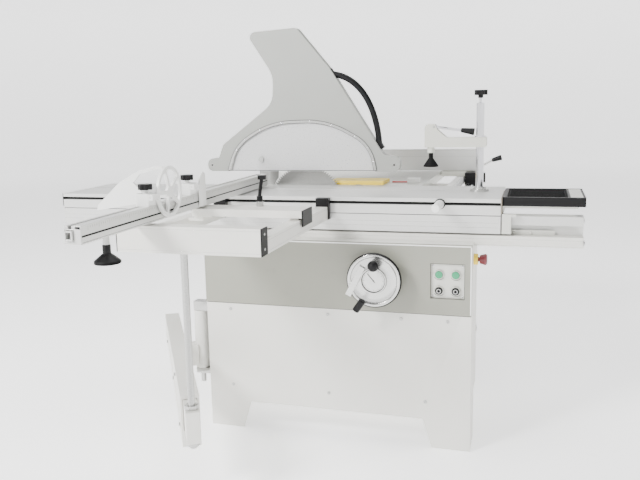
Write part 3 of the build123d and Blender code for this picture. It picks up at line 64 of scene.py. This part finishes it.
def material(name, colour, rough, metal=0.0, grain=700.0, bump=0.15, vary=0.05, streak=(1, 1, 1), coat=0.0,
             clear=0.0, spread=0.08, scuff=0.0, sheen=0.5, glow=0.0):
    """Colour variation, roughness variation and fine relief, all from object-space noise."""
    m = bpy.data.materials.new(name)
    m.use_nodes = True
    nodes, links = m.node_tree.nodes, m.node_tree.links
    shader = nodes["Principled BSDF"]
    shader.inputs["Metallic"].default_value = metal
    shader.inputs["Coat Weight"].default_value = coat
    shader.inputs["Specular IOR Level"].default_value = sheen
    shader.inputs["Emission Color"].default_value = (1, 1, 1, 1)
    shader.inputs["Emission Strength"].default_value = glow
    shader.inputs["Coat Roughness"].default_value = 0.12
    shader.inputs["Transmission Weight"].default_value = clear
    place = nodes.new("ShaderNodeTexCoord")
    stretch = nodes.new("ShaderNodeMapping")
    stretch.inputs["Scale"].default_value = streak
    links.new(place.outputs["Object"], stretch.inputs["Vector"])

    def noise(scale, detail):
        n = nodes.new("ShaderNodeTexNoise")
        n.inputs["Scale"].default_value = scale
        n.inputs["Detail"].default_value = detail
        links.new(stretch.outputs["Vector"], n.inputs["Vector"])
        return n.outputs["Fac"]

    broad = noise(5.0 if streak == (1, 1, 1) else 40.0, 6.0)
    fine = noise(grain, 3.0)
    base = linear(colour)
    ramp = nodes.new("ShaderNodeValToRGB")
    ramp.color_ramp.elements[0].position = 0.3
    ramp.color_ramp.elements[1].position = 0.7
    ramp.color_ramp.elements[0].color = tuple(c * (1 - vary) for c in base[:3]) + (1,)
    ramp.color_ramp.elements[1].color = tuple(min(1, c * (1 + vary)) for c in base[:3]) + (1,)
    links.new(broad, ramp.inputs["Fac"])
    out = ramp.outputs["Color"]
    if scuff:
        spots = noise(38.0, 8.0)
        cut = nodes.new("ShaderNodeMapRange")
        cut.inputs["From Min"].default_value = 0.62
        cut.inputs["From Max"].default_value = 0.72
        cut.inputs["To Max"].default_value = scuff
        links.new(spots, cut.inputs["Value"])
        mix = nodes.new("ShaderNodeMix")
        mix.data_type = "RGBA"
        links.new(cut.outputs["Result"], mix.inputs["Factor"])
        links.new(out, mix.inputs["A"])
        mix.inputs["B"].default_value = tuple(c * 0.55 for c in base[:3]) + (1,)
        out = mix.outputs["Result"]
    links.new(out, shader.inputs["Base Color"])
    gloss = nodes.new("ShaderNodeMapRange")
    gloss.inputs["To Min"].default_value = max(0.03, rough - spread)
    gloss.inputs["To Max"].default_value = rough + spread
    links.new(fine, gloss.inputs["Value"])
    links.new(gloss.outputs["Result"], shader.inputs["Roughness"])
    relief = nodes.new("ShaderNodeBump")
    relief.inputs["Strength"].default_value = bump
    relief.inputs["Distance"].default_value = 0.0004
    links.new(fine, relief.inputs["Height"])
    links.new(relief.outputs["Normal"], shader.inputs["Normal"])
    return m


LOOKS = {
    "cream": material("cream_powder_coat", (0.87, 0.865, 0.84), 0.42, vary=0.02, scuff=0.08, grain=900),
    "grey": material("grey_paint", (0.55, 0.55, 0.505), 0.38, vary=0.03, scuff=0.08, grain=900, coat=0.15),
    "hood": material("hood_paint", (0.63, 0.635, 0.615), 0.4, vary=0.02, scuff=0.06, grain=1000),
    "casting": material("cast_paint", (0.80, 0.80, 0.76), 0.45, grain=260, bump=0.3, vary=0.03),
    "anodised": material("satin_anodised", (0.82, 0.82, 0.81), 0.34, 0.45, streak=(2, 60, 60), grain=40, bump=0.06,
                         vary=0.03),
    "fence": material("fence_anodised", (0.82, 0.82, 0.81), 0.34, 0.45, streak=(60, 2, 60), grain=40, bump=0.06,
                      vary=0.03),
    "table": material("ground_iron", (0.84, 0.84, 0.82), 0.3, 0.6, streak=(60, 2, 60), grain=40, bump=0.12, vary=0.06),
    "steel": material("turned_steel", (0.72, 0.72, 0.71), 0.28, 0.9, streak=(4, 4, 90), grain=30, bump=0.1, vary=0.07),
    "plate": material("panel_plate", (0.80, 0.80, 0.77), 0.34, 0.25, streak=(2, 40, 60), grain=40, bump=0.05,
                      vary=0.03),
    "blade": material("blade_steel", (0.62, 0.62, 0.61), 0.26, 0.9, streak=(30, 1, 30), grain=20, bump=0.1, vary=0.06),
    "chrome": material("polished_steel", (0.82, 0.82, 0.83), 0.12, 1.0, vary=0.03, bump=0.03, spread=0.04),
    "wheel": material("polished_aluminium", (0.78, 0.78, 0.77), 0.2, 0.85, grain=150, bump=0.05, vary=0.05),
    "black": material("black_moulding", (0.045, 0.045, 0.05), 0.42, grain=1100, bump=0.25, vary=0.15, sheen=0.22),
    "rubber": material("black_rubber", (0.05, 0.05, 0.052), 0.7, grain=500, bump=0.35, vary=0.2, sheen=0.15),
    "white": material("white_moulding", (0.93, 0.93, 0.92), 0.35, grain=800, bump=0.08, vary=0.02),
    "yellow": material("yellow_moulding", (0.92, 0.80, 0.24), 0.38, grain=800, bump=0.1, vary=0.04),
    "green": material("green_button", (0.05, 0.55, 0.36), 0.25, coat=0.5, grain=300, bump=0.03, vary=0.08),
    "red": material("dark_red_button", (0.42, 0.05, 0.10), 0.3, coat=0.4, grain=300, bump=0.04, vary=0.1),
    "gauge": material("gauge_red", (0.75, 0.15, 0.14), 0.4, grain=400, bump=0.05, vary=0.06),
    # near-black: painted shade inside slots, grooves and screw sockets; also dark joints, beads and printed scales and
    # marks
    "dark": material("dark_marks_and_painted_shade", (0.08, 0.08, 0.08), 0.6, grain=400, bump=0.2, vary=0.2, sheen=0.2),
    "clear": material("milky_sheet", (0.985, 0.985, 0.985), 0.3, clear=0.55, grain=300, bump=0.03, vary=0.01),
    "brown": material("wiper_felt", (0.55, 0.52, 0.47), 0.8, grain=600, bump=0.4, vary=0.15),
}

# each CAD node: its usual look, then tests on a solid's box (cabinet mm: x0 y0 z0 x1 y1 z1) for the others
DRESS = {
    "cabinet_front": ("cream",), "cabinet_body": ("cream",), "fascia": ("grey",), "rear_door": ("cream",),
    "cabinet_fittings": ("steel", ("black", lambda b: b[1] > 690 and b[3] > 850)),
    "control_plate": ("chrome", ("plate", lambda b: b[3] > 900)),
    "stop_collar": ("yellow",), "stop_mushroom": ("red",),
    "start_button_main": ("green",), "start_button_scoring": ("green",),
    "stop_button_main": ("black",), "stop_button_scoring": ("black",),
    "main_table": ("table", ("anodised", lambda b: b[5] - b[2] < 10)), "table_brackets": ("cream",),
    "scoring_cover": ("yellow",),
    "guide_rail": ("cream", ("anodised", lambda b: b[2] > 740)), "swing_hinge": ("steel",),
    "rip_rails": ("chrome", ("gauge", lambda b: 590 < b[0] < 610),
                  ("white", lambda b: b[3] < 855)),
    "carriage": ("anodised", ("white", lambda b: b[1] < 0)), "ball_cage": ("plate",),
    "end_tray": ("black", ("rubber", lambda b: 1070 < b[0]), ("brown", lambda b: 1050 < b[0] < 1063)),
    "tray_bracket": ("plate",),
    "outrigger_front_beam": ("cream",), "outrigger_side_beams": ("cream",), "outrigger_inner_beam": ("cream",),
    "outrigger_fittings": ("black", ("steel", lambda b: b[5] > 895)), "clamp_lever": ("black",),
    "crosscut_fence": ("fence",), "fence_extension": ("fence",),
    "fence_foot": ("black", ("steel", lambda b: b[3] < 125 or b[0] > 90)),
    "stop_block_1": ("white", ("black", lambda b: b[2] > 980)), "flip_stop_round": ("white",),
    "stop_block_2": ("white", ("black", lambda b: b[2] > 980)), "flip_stop_small": ("white",),
    "hold_down_base": ("steel",), "hold_down_post": ("chrome",), "hold_down_knob": ("black",),
    "hold_down_arm": ("casting", ("steel", lambda b: b[3] - b[0] < 12)),
    "hold_down_lever": ("chrome", ("black", lambda b: b[3] > 940)), "clamp_foot": ("rubber",),
    "swing_arm": ("cream", ("steel", lambda b: b[5] - b[2] < 20)), "swing_tube": ("cream",),
    "support_post": ("steel",), "tilt_cradle": ("grey",),
    "rise_carrier": ("grey", ("rubber", lambda b: b[4] - b[1] < 20 and b[0] > 200),
                     ("black", lambda b: b[3] - b[0] > 130 and b[4] > 670)),
    "riving_knife": ("blade",), "arbor": ("steel",), "saw_blade": ("blade",), "motor_pulley": ("steel",),
    "scoring_blade": ("blade",), "hood_shell": ("hood",), "hood_windows": ("clear",),
    "hood_fittings": ("steel", ("black", lambda b: b[5] > 1300)),
    "handwheel": ("wheel", ("white", lambda b: b[3] - b[0] > 70 and b[4] < -60),
                  ("black", lambda b: b[1] < -100), ("steel", lambda b: b[4] > 100)),
    "wheel_grip": ("black",), "dial_needle": ("black",),
    "rip_carrier": ("black", ("casting", lambda b: b[0] < 800)), "rip_fence": ("anodised",),
    "rip_lever": ("black", ("steel", lambda b: b[2] < 900)), "rip_fine_knob": ("black",),
}
SMOOTH_ONLY = {"saw_blade", "scoring_blade", "arbor", "ball_cage", "rise_carrier", "tilt_cradle", "motor_pulley"}


def finish_mesh(obj, bevel):
    obj.data.polygons.foreach_set("use_smooth", [True] * len(obj.data.polygons))
    obj.data.set_sharp_from_angle(angle=math.radians(32))
    if bevel:
        cut = obj.modifiers.new("edges", "BEVEL")
        cut.width = bevel
        cut.segments = 2
        cut.limit_method = "ANGLE"
        cut.angle_limit = math.radians(50)
        cut.use_clamp_overlap = True
        cut.miter_outer = "MITER_ARC"


def piece(name, bm, body, look, bevel=0.0):
    """A new object from a mesh given in the row frame."""
    me = bpy.data.meshes.new(name)
    bm.to_mesh(me)
    bm.free()
    obj = bpy.data.objects.new(name, me)
    bpy.context.scene.collection.objects.link(obj)
    me.materials.append(LOOKS[look])
    finish_mesh(obj, bevel)
    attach(obj, body)
    return obj


def islands(bm):
    """The separate solids of a mesh, as lists of faces."""
    seen, found = set(), []
    for face in bm.faces:
        if face in seen:
            continue
        stack, group = [face], []
        seen.add(face)
        while stack:
            f = stack.pop()
            group.append(f)
            for edge in f.edges:
                for other in edge.link_faces:
                    if other not in seen:
                        seen.add(other)
                        stack.append(other)
        found.append(group)
    return found


def dress(node, usual, *others):
    """Rebuild a CAD node with clean edges, one piece for each look."""
    bm = bmesh.new()
    bm.from_mesh(frame["nodes"][node].data)
    bmesh.ops.remove_doubles(bm, verts=bm.verts, dist=1e-6)
    looks = {}
    for group in islands(bm):
        low = [min(v.co[i] for f in group for v in f.verts) for i in range(3)]
        high = [max(v.co[i] for f in group for v in f.verts) for i in range(3)]
        box = [(c - ORIGIN[i % 3]) * 1000 for i, c in enumerate(low + high)]
        look = next((name for name, test in others if test(box)), usual)
        looks.setdefault(look, []).extend(group)
    for number, (look, faces) in enumerate(looks.items()):
        index = {f.index for f in faces}
        part = bm.copy()
        part.faces.ensure_lookup_table()
        bmesh.ops.delete(part, geom=[f for f in part.faces if f.index not in index], context="FACES")
        bmesh.ops.dissolve_limit(part, angle_limit=math.radians(0.4), verts=part.verts, edges=part.edges)
        obj = piece(node + "_" + look, part, BODY[node], look, 0.0 if node in SMOOTH_ONLY else 0.0007)
        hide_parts(node)
    bm.free()


for node, rule in DRESS.items():
    dress(node, *rule)


# ---- detail pieces, in millimetres from the cabinet's front left corner ----
def bars(name, body, look, boxes, bevel=0.0002):
    """Several bevelled strips as one piece: each is x0, x1, y0, y1, z0, z1."""
    bm = bmesh.new()
    for x0, x1, y0, y1, z0, z1 in boxes:
        centre = at((x0 + x1) / 2, (y0 + y1) / 2, (z0 + z1) / 2)
        size = Matrix.Diagonal(((x1 - x0) / 1000, (y1 - y0) / 1000, (z1 - z0) / 1000, 1))
        bmesh.ops.create_cube(bm, size=1, matrix=Matrix.Translation(centre) @ size)
    return piece(name, bm, body, look, bevel)


def turned(name, body, look, places, profile, axis="y", steps=48, arc=(0, 360)):
    """The same turned shape at several places; the profile gives radius and height along the axis."""
    turn = {"x": Matrix(((0, 0, 1), (1, 0, 0), (0, 1, 0))), "y": Matrix(((1, 0, 0), (0, 0, 1), (0, 1, 0))),
            "z": Matrix.Identity(3)}[axis]
    whole = arc == (0, 360)
    angles = [math.radians(arc[0] + (arc[1] - arc[0]) * i / steps) for i in range(steps + (not whole))]
    bm = bmesh.new()
    for place in places:
        rings = []
        for a in angles:
            rings.append([bm.verts.new(at(*place) + turn @ Vector((r * math.cos(a), r * math.sin(a), h)) / 1000)
                          for r, h in profile])
        for i in range(len(rings) if whole else len(rings) - 1):
            one, two = rings[i], rings[(i + 1) % len(rings)]
            for j in range(len(profile) - 1):
                bm.faces.new((one[j], one[j + 1], two[j + 1], two[j]))
    bmesh.ops.remove_doubles(bm, verts=bm.verts, dist=1e-6)
    bmesh.ops.recalc_face_normals(bm, faces=bm.faces)
    return piece(name, bm, body, look)


def rounded(points, radii, steps=8):
    """A closed outline with an arc at each corner."""
    out = []
    for i, p in enumerate(points):
        here, before, after = Vector(p), Vector(points[i - 1]), Vector(points[(i + 1) % len(points)])
        a, b = (before - here).normalized(), (after - here).normalized()
        half = a.angle(b) / 2
        reach = radii[i] / math.tan(half)
        middle = here + (a + b).normalized() * radii[i] / math.sin(half)
        start, end = here + a * reach - middle, here + b * reach - middle
        for k in range(steps + 1):
            way = start.lerp(end, k / steps)
            out.append(middle + way.normalized() * radii[i])
    return out


def line_round(name, body, look, outline, y, radius):
    """A fine round bead along a closed outline in a plane of constant y."""
    curve = bpy.data.curves.new(name, "CURVE")
    curve.dimensions = "3D"
    curve.bevel_depth = radius / 1000
    curve.bevel_resolution = 2
    spline = curve.splines.new("POLY")
    spline.points.add(len(outline) - 1)
    for point, (x, z) in zip(spline.points, outline):
        point.co = (*at(x, y, z), 1)
    spline.use_cyclic_u = True
    curve.materials.append(LOOKS[look])
    obj = bpy.data.objects.new(name, curve)
    bpy.context.scene.collection.objects.link(obj)
    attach(obj, body)


def dome(radius, height):
    """A domed screw head standing on a face at height zero, towards negative height."""
    return [(0.001, -height), (radius * 0.5, -height * 0.95), (radius * 0.85, -height * 0.6), (radius, 0.0)]


CARRIAGE_X = (-639, 1059)      # the carriage's grooves, end to end
FENCE_Y = (-969, 358)          # the cross-cut fence's slots
WHEEL_X, WHEEL_Z = 653, 615    # the handwheel's axis
HEX = [(0.001, 0.25), (2.4, 0.25), (2.6, 0.0), (2.9, -0.08)]
SCREWS = [(95, 466), (470, 466), (735, 466), (895, 466), (95, 170), (470, 170), (820, 170)]
# painted shade: dark hex marks standing for the shaded sockets of the cabinet screws
turned("screw_socket_shade", "frame", "dark", [(x, -3.05, z) for x, z in SCREWS], HEX, steps=6)
# painted highlight: white strips on the grey fascia's top flange and right edge, where these edges catch the light
bars("fascia_edge_highlights", "frame", "white", [(3, 972, -6.35, -5.9, 728, 732), (970, 974, -6.35, -5.9, 494, 727)])
bars("fascia_seam", "frame", "dark", [(2, 973, -0.6, 0.2, 487.6, 489.8)])
bars("panel_frame", "frame", "dark", [(836.5, 838, -6.3, -5.8, 547.5, 669.5), (950, 951.5, -6.3, -5.8, 547.5, 669.5),
                                      (838, 950, -6.3, -5.8, 547.5, 549), (838, 950, -6.3, -5.8, 668, 669.5)])
turned("panel_plate_screws", "frame", "chrome", [(x, 3, z) for x in (845, 943) for z in (556, 661)], dome(3.2, 1.6))
BUTTONS = [(865, 631), (921, 631), (865, 575), (921, 575)]
turned("button_marks", "frame", "dark", [(x, 2.9, z) for x, z in BUTTONS],
       [(18.4, 0), (18.4, -0.2), (19.8, -0.2), (19.8, 0)], steps=20, arc=(215, 325))
STOP_RING = [(5.2, 0.02), (5.6, -0.35), (7.6, -0.35), (8.0, 0.02)]
for name, body, x in (("stop_button_rings", "stop_main", 865), ("stop_button_ring_2", "stop_scoring", 921)):
    turned(name, body, "steel", [(x, -11, 575)], STOP_RING)
turned("collar_ribs", "emergency_stop", "black", [(1019, 60, 676)],
       [(7, 0.02), (7.4, 0.3), (11, 0.3), (11.4, 0.02)], axis="x")

# carriage: the shadowed bottoms of its slots, its end screws and the handle's washer
bars("carriage_slot_floor", "carriage", "dark",
     [(*CARRIAGE_X, 77.3, 78.9, 859.3, 868.7), (*CARRIAGE_X, 285.5, 294.5, 873.05, 873.9)])
# painted shade: a dark strip inside the carriage's groove
bars("carriage_groove_shade", "carriage", "dark", [(*CARRIAGE_X, 66.2, 66.9, 824.1, 825.9)])
bars("carriage_lines", "carriage", "steel",
     [(*CARRIAGE_X, 64.75, 65.1, 784, 785), (*CARRIAGE_X, 64.75, 65.1, 800, 800.8)])
turned("carriage_end_screws", "carriage", "chrome", [(1064, y, 870) for y in (90, 280)],
       [(r, -h) for r, h in dome(4, 1.4)], axis="x")
turned("handle_washer", "carriage", "black", [(859, 59.5, 864)],
       [(14.2, -1.2), (18, -1.2), (18, 1.2), (14.2, 1.2)])
turned("handle_rings", "carriage", "white", [(859, y, 864) for y in (-48, 40)],
       [(14, -1.5), (14.9, -1), (14.9, 1), (14, 1.5)])
bars("tray_end_pad", "carriage", "plate", [(1281, 1320, 92, 332, 887.9, 888.0)], 0.0)
turned("tray_screws", "carriage", "black", [(x, y, 858) for x in (1090, 1290) for y in (120, 300)],
       dome(5, 2), axis="z")
turned("rail_end_bolts", "frame", "steel", [(1324, y, z) for y, z in ((65, 740), (165, 740), (125, 806))],
       [(7.5, -0.2), (7.5, 3), (6.6, 3.6), (0.001, 3.6)], axis="x", steps=6)
turned("rail_end_washers", "frame", "chrome", [(1324, y, z) for y, z in ((65, 740), (165, 740))],
       [(10.5, -0.1), (10.5, 0.9), (10, 1.2), (7, 1.2)], axis="x")
bars("rail_lines", "frame", "steel", [(-519, 1323, 44.75, 45.1, 729, 729.8), (-519, 1323, 44.75, 45.1, 750, 750.8)])

# cross-cut fence: painted shade in its slots, its scale and caps
bars("fence_slot_shade", "crosscut_fence", "dark", [(90.4, 99.6, *FENCE_Y, 928.02, 928.8)])
bars("fence_side_slot_shade", "crosscut_fence", "dark",
     [(126.7, 127.3, *FENCE_Y, 906.5, 911.5), (126.7, 127.2, *FENCE_Y, 893, 894)])
bars("fence_scale", "crosscut_fence", "dark",
     [(126.9, 127.15, y, y + 0.6, 926 if i % 5 else 922, 932) for i, y in enumerate(range(-940, 350, 10))], 0.0)
turned("foot_knob_grip", "crosscut_fence", "rubber", [(104, -826, 815 + i * 2.0) for i in range(3)],
       [(35, -0.6), (35.7, -0.2), (35.7, 0.2), (35, 0.6)], axis="z")
bars("side_beam_lines", "outrigger", "steel",
     [(465.8, 466.35, -585, 36, 842, 842.6), (465.8, 466.35, -585, 36, 812, 812.6)])
bars("front_beam_lines", "outrigger", "steel",
     [(23, 461, -638.3, -637.9, 874, 874.7), (23, 461, -638.3, -637.9, 812, 812.7)])
turned("beam_cap_screws", "outrigger", "steel", [(466, -613, z) for z in (822, 864)],
       [(r, -h) for r, h in dome(4, 1.3)], axis="x")

# hood: beads beside the trim, and its screws, on both faces
TRIM_OUT = rounded([(-72, 944), (566, 944), (545, 1050), (366, 1149), (118, 1145), (-34, 1050)],
                   [4, 4, 158, 358, 358, 178])
TRIM_IN = rounded([(-60, 944), (554, 944), (535, 1042), (362, 1138), (122, 1134), (-26, 1042)],
                  [2, 2, 144, 344, 344, 164])
TRIM_MID = rounded([(-66, 950), (560, 950), (540, 1046), (364, 1143.5), (120, 1139.5), (-30, 1046)],
                   [4, 4, 150, 350, 350, 170])
for side, face_y, out in (("near", 425, -1), ("far", 473, 1)):
    line_round("trim_outer_" + side, "hood", "dark", TRIM_OUT, face_y + out * 0.6, 1.1)
    line_round("trim_inner_" + side, "hood", "dark", TRIM_IN, face_y + out * 0.6, 1.0)
    spots = [p for i, p in enumerate(TRIM_MID) if i % 4 == 2 and p[1] > 955]
    top = [(p[0], face_y, p[1]) for p in spots]
    turned("trim_screws_" + side, "hood", "chrome", top,
           [(r, h * -out) for r, h in dome(3.4, 1.8)], steps=20)
turned("hood_ear_rings", "hood", "steel", [(x, 427, 966) for x in (635, -143)],
       [(4.2, 0.05), (4.2, -0.6), (7, -0.6), (7.4, 0.05)])

# handwheel: turned dish, dark rim band, dial scale
turned("wheel_dish", "handwheel", "wheel", [(WHEEL_X, 0, WHEEL_Z)],
       [(44.5, -66.05), (46, -67.6), (50, -67.0), (56, -66.5), (64, -66.5), (72, -67.2), (77, -68.6), (79, -69.4)],
       steps=96)
turned("wheel_rim_band", "handwheel", "black", [(WHEEL_X, -62, WHEEL_Z)],
       [(86 + 9.4 * math.cos(t), 9.4 * math.sin(t)) for t in (math.radians(a) for a in range(-58, 60, 8))], steps=96)
turned("dial_bezel", "handwheel", "dark", [(WHEEL_X, -71, WHEEL_Z)],
       [(38.2, 0.02), (38.4, -0.35), (40.2, -0.35), (40.4, 0.02)], steps=72)


def dial_scale():
    bm = bmesh.new()
    for i in range(60):
        turn = Matrix.Rotation(math.radians(6 * i), 4, "Y")
        length = 6 if i % 5 == 0 else 3
        size = Matrix.Diagonal((0.0007 if i % 5 == 0 else 0.0004, 0.0002, length / 1000, 1))
        place = (Matrix.Translation(at(WHEEL_X, -71.1, WHEEL_Z)) @ turn
                 @ Matrix.Translation((0, 0, (36.5 - length / 2) / 1000)))
        bmesh.ops.create_cube(bm, size=1, matrix=place @ size)
    return piece("dial_scale", bm, "handwheel", "dark")


dial_scale()

# rip fence and its rail
# painted shade: a dark strip for the shaded T-slot in the fence's top face
bars("rip_fence_slot_shade", "rip_fence", "dark", [(-79, 904, 1112, 1120, 983.9, 984.3)])
bars("rip_face_lines", "rip_fence", "steel",
     [(-79, 904, 1099.75, 1100.1, 950, 950.8), (-79, 904, 1099.75, 1100.1, 978, 978.8)])
bars("rip_scale", "frame", "dark",
     [(838 if i % 5 else 832, 849, y, y + 0.6, 859.9, 860.12) for i, y in enumerate(range(470, 1440, 10))], 0.0)
turned("rip_casting_screws", "rip_carrier", "chrome", [(x, 1104, 915) for x in (770, 880)], dome(5, 0.4))
turned("hold_down_collar", "hold_down_arm", "chrome", [(973, 290, 1079)],
       [(14.2, 0), (20, 0), (20, 3), (19, 4), (14.2, 4)], axis="z")
BASE_SCREWS = [math.radians(45 + 90 * i) for i in range(4)]
# painted shade: dark hex marks standing for the shaded sockets of the hold-down base's screws
turned("hold_down_screw_socket_shade", "hold_down_base", "dark",
       [(973 + 26 * math.cos(t), 290 + 26 * math.sin(t), 894) for t in BASE_SCREWS],
       [(0.001, 0.05), (2.0, 0.05), (2.1, 0.25), (2.3, 0.02)], axis="z", steps=6)


# ---- camera, floor and light ----
IMAGE_W, IMAGE_H = 640, 480                 # pixels
FOCAL, CENTRE_X, CENTRE_Y = 753.62, 297.4, 234.27    # pixels, from the camera fit
YAW, PITCH, ROLL = 17.73, 9.81, 1.46        # degrees
CAMERA_AT = (1170.11, -2520.38, 1212.77)    # mm from the cabinet's front left corner
SENSOR = 36                                 # mm


def camera():
    yaw, pitch, roll = (math.radians(a) for a in (YAW, PITCH, ROLL))
    forward = Vector((-math.sin(yaw) * math.cos(pitch), math.cos(yaw) * math.cos(pitch), -math.sin(pitch)))
    right = Vector((math.cos(yaw), math.sin(yaw), 0))
    down = forward.cross(right)
    x_axis = right * math.cos(roll) + down * math.sin(roll)
    y_axis = right * math.sin(roll) - down * math.cos(roll)
    turn = Matrix((x_axis, y_axis, -forward)).transposed().to_4x4()
    data = bpy.data.cameras.new("camera")
    data.sensor_width = SENSOR
    data.lens = FOCAL / IMAGE_W * SENSOR
    data.shift_x = (IMAGE_W / 2 - CENTRE_X) / IMAGE_W
    data.shift_y = (CENTRE_Y - IMAGE_H / 2) / IMAGE_W
    data.clip_end = 60
    obj = bpy.data.objects.new("camera", data)
    bpy.context.scene.collection.objects.link(obj)
    obj.matrix_world = Matrix.Translation(at(*CAMERA_AT)) @ turn
    bpy.context.scene.camera = obj


def backdrop():
    """A pale round floor that curves up into a low wall a long way off."""
    bm = bmesh.new()
    bend = [(12 + 3 * math.sin(a), 3 - 3 * math.cos(a)) for a in (math.pi / 2 * i / 10 for i in range(11))]
    profile = [(4, 0), (8, 0)] + bend + [(15, 5)]
    middle = bm.verts.new((0, 0, 0))
    rings = []
    for r, z in profile:
        rings.append([bm.verts.new((r * math.cos(t), r * math.sin(t), z)) for t in
                      (math.tau * k / 96 for k in range(96))])
    for k in range(96):
        n = (k + 1) % 96
        bm.faces.new((middle, rings[0][k], rings[0][n]))
        for one, two in zip(rings, rings[1:]):
            bm.faces.new((one[k], two[k], two[n], one[n]))
    me = bpy.data.meshes.new("studio_floor")
    bm.to_mesh(me)
    bm.free()
    obj = bpy.data.objects.new("studio_floor", me)
    bpy.context.scene.collection.objects.link(obj)
    me.materials.append(material("studio_paper", (1.0, 1.0, 1.0), 0.9, vary=0.004, bump=0.01, grain=60, glow=1.15))
    me.polygons.foreach_set("use_smooth", [True] * len(me.polygons))


def soft_light(name, place, target, size, power):
    data = bpy.data.lights.new(name, "AREA")
    data.shape = "RECTANGLE"
    data.size, data.size_y = size
    data.energy = power
    obj = bpy.data.objects.new(name, data)
    bpy.context.scene.collection.objects.link(obj)
    obj.location = place
    obj.rotation_euler = (Vector(target) - Vector(place)).to_track_quat("-Z", "Y").to_euler()


camera()
backdrop()
soft_light("key", (-3.2, -4.5, 4.2), (0, 0, 0.7), (1.6, 1.6), 640)
soft_light("fill", (4.2, -3.5, 2.6), (0, 0, 0.7), (3.0, 3.0), 25)
soft_light("top", (0, 0.5, 5.0), (0, 0, 0), (4.0, 4.0), 190)
world = bpy.data.worlds.new("studio")
world.use_nodes = True
world.node_tree.nodes["Background"].inputs["Color"].default_value = (1, 1, 1, 1)
world.node_tree.nodes["Background"].inputs["Strength"].default_value = 0.25
bpy.context.scene.world = world
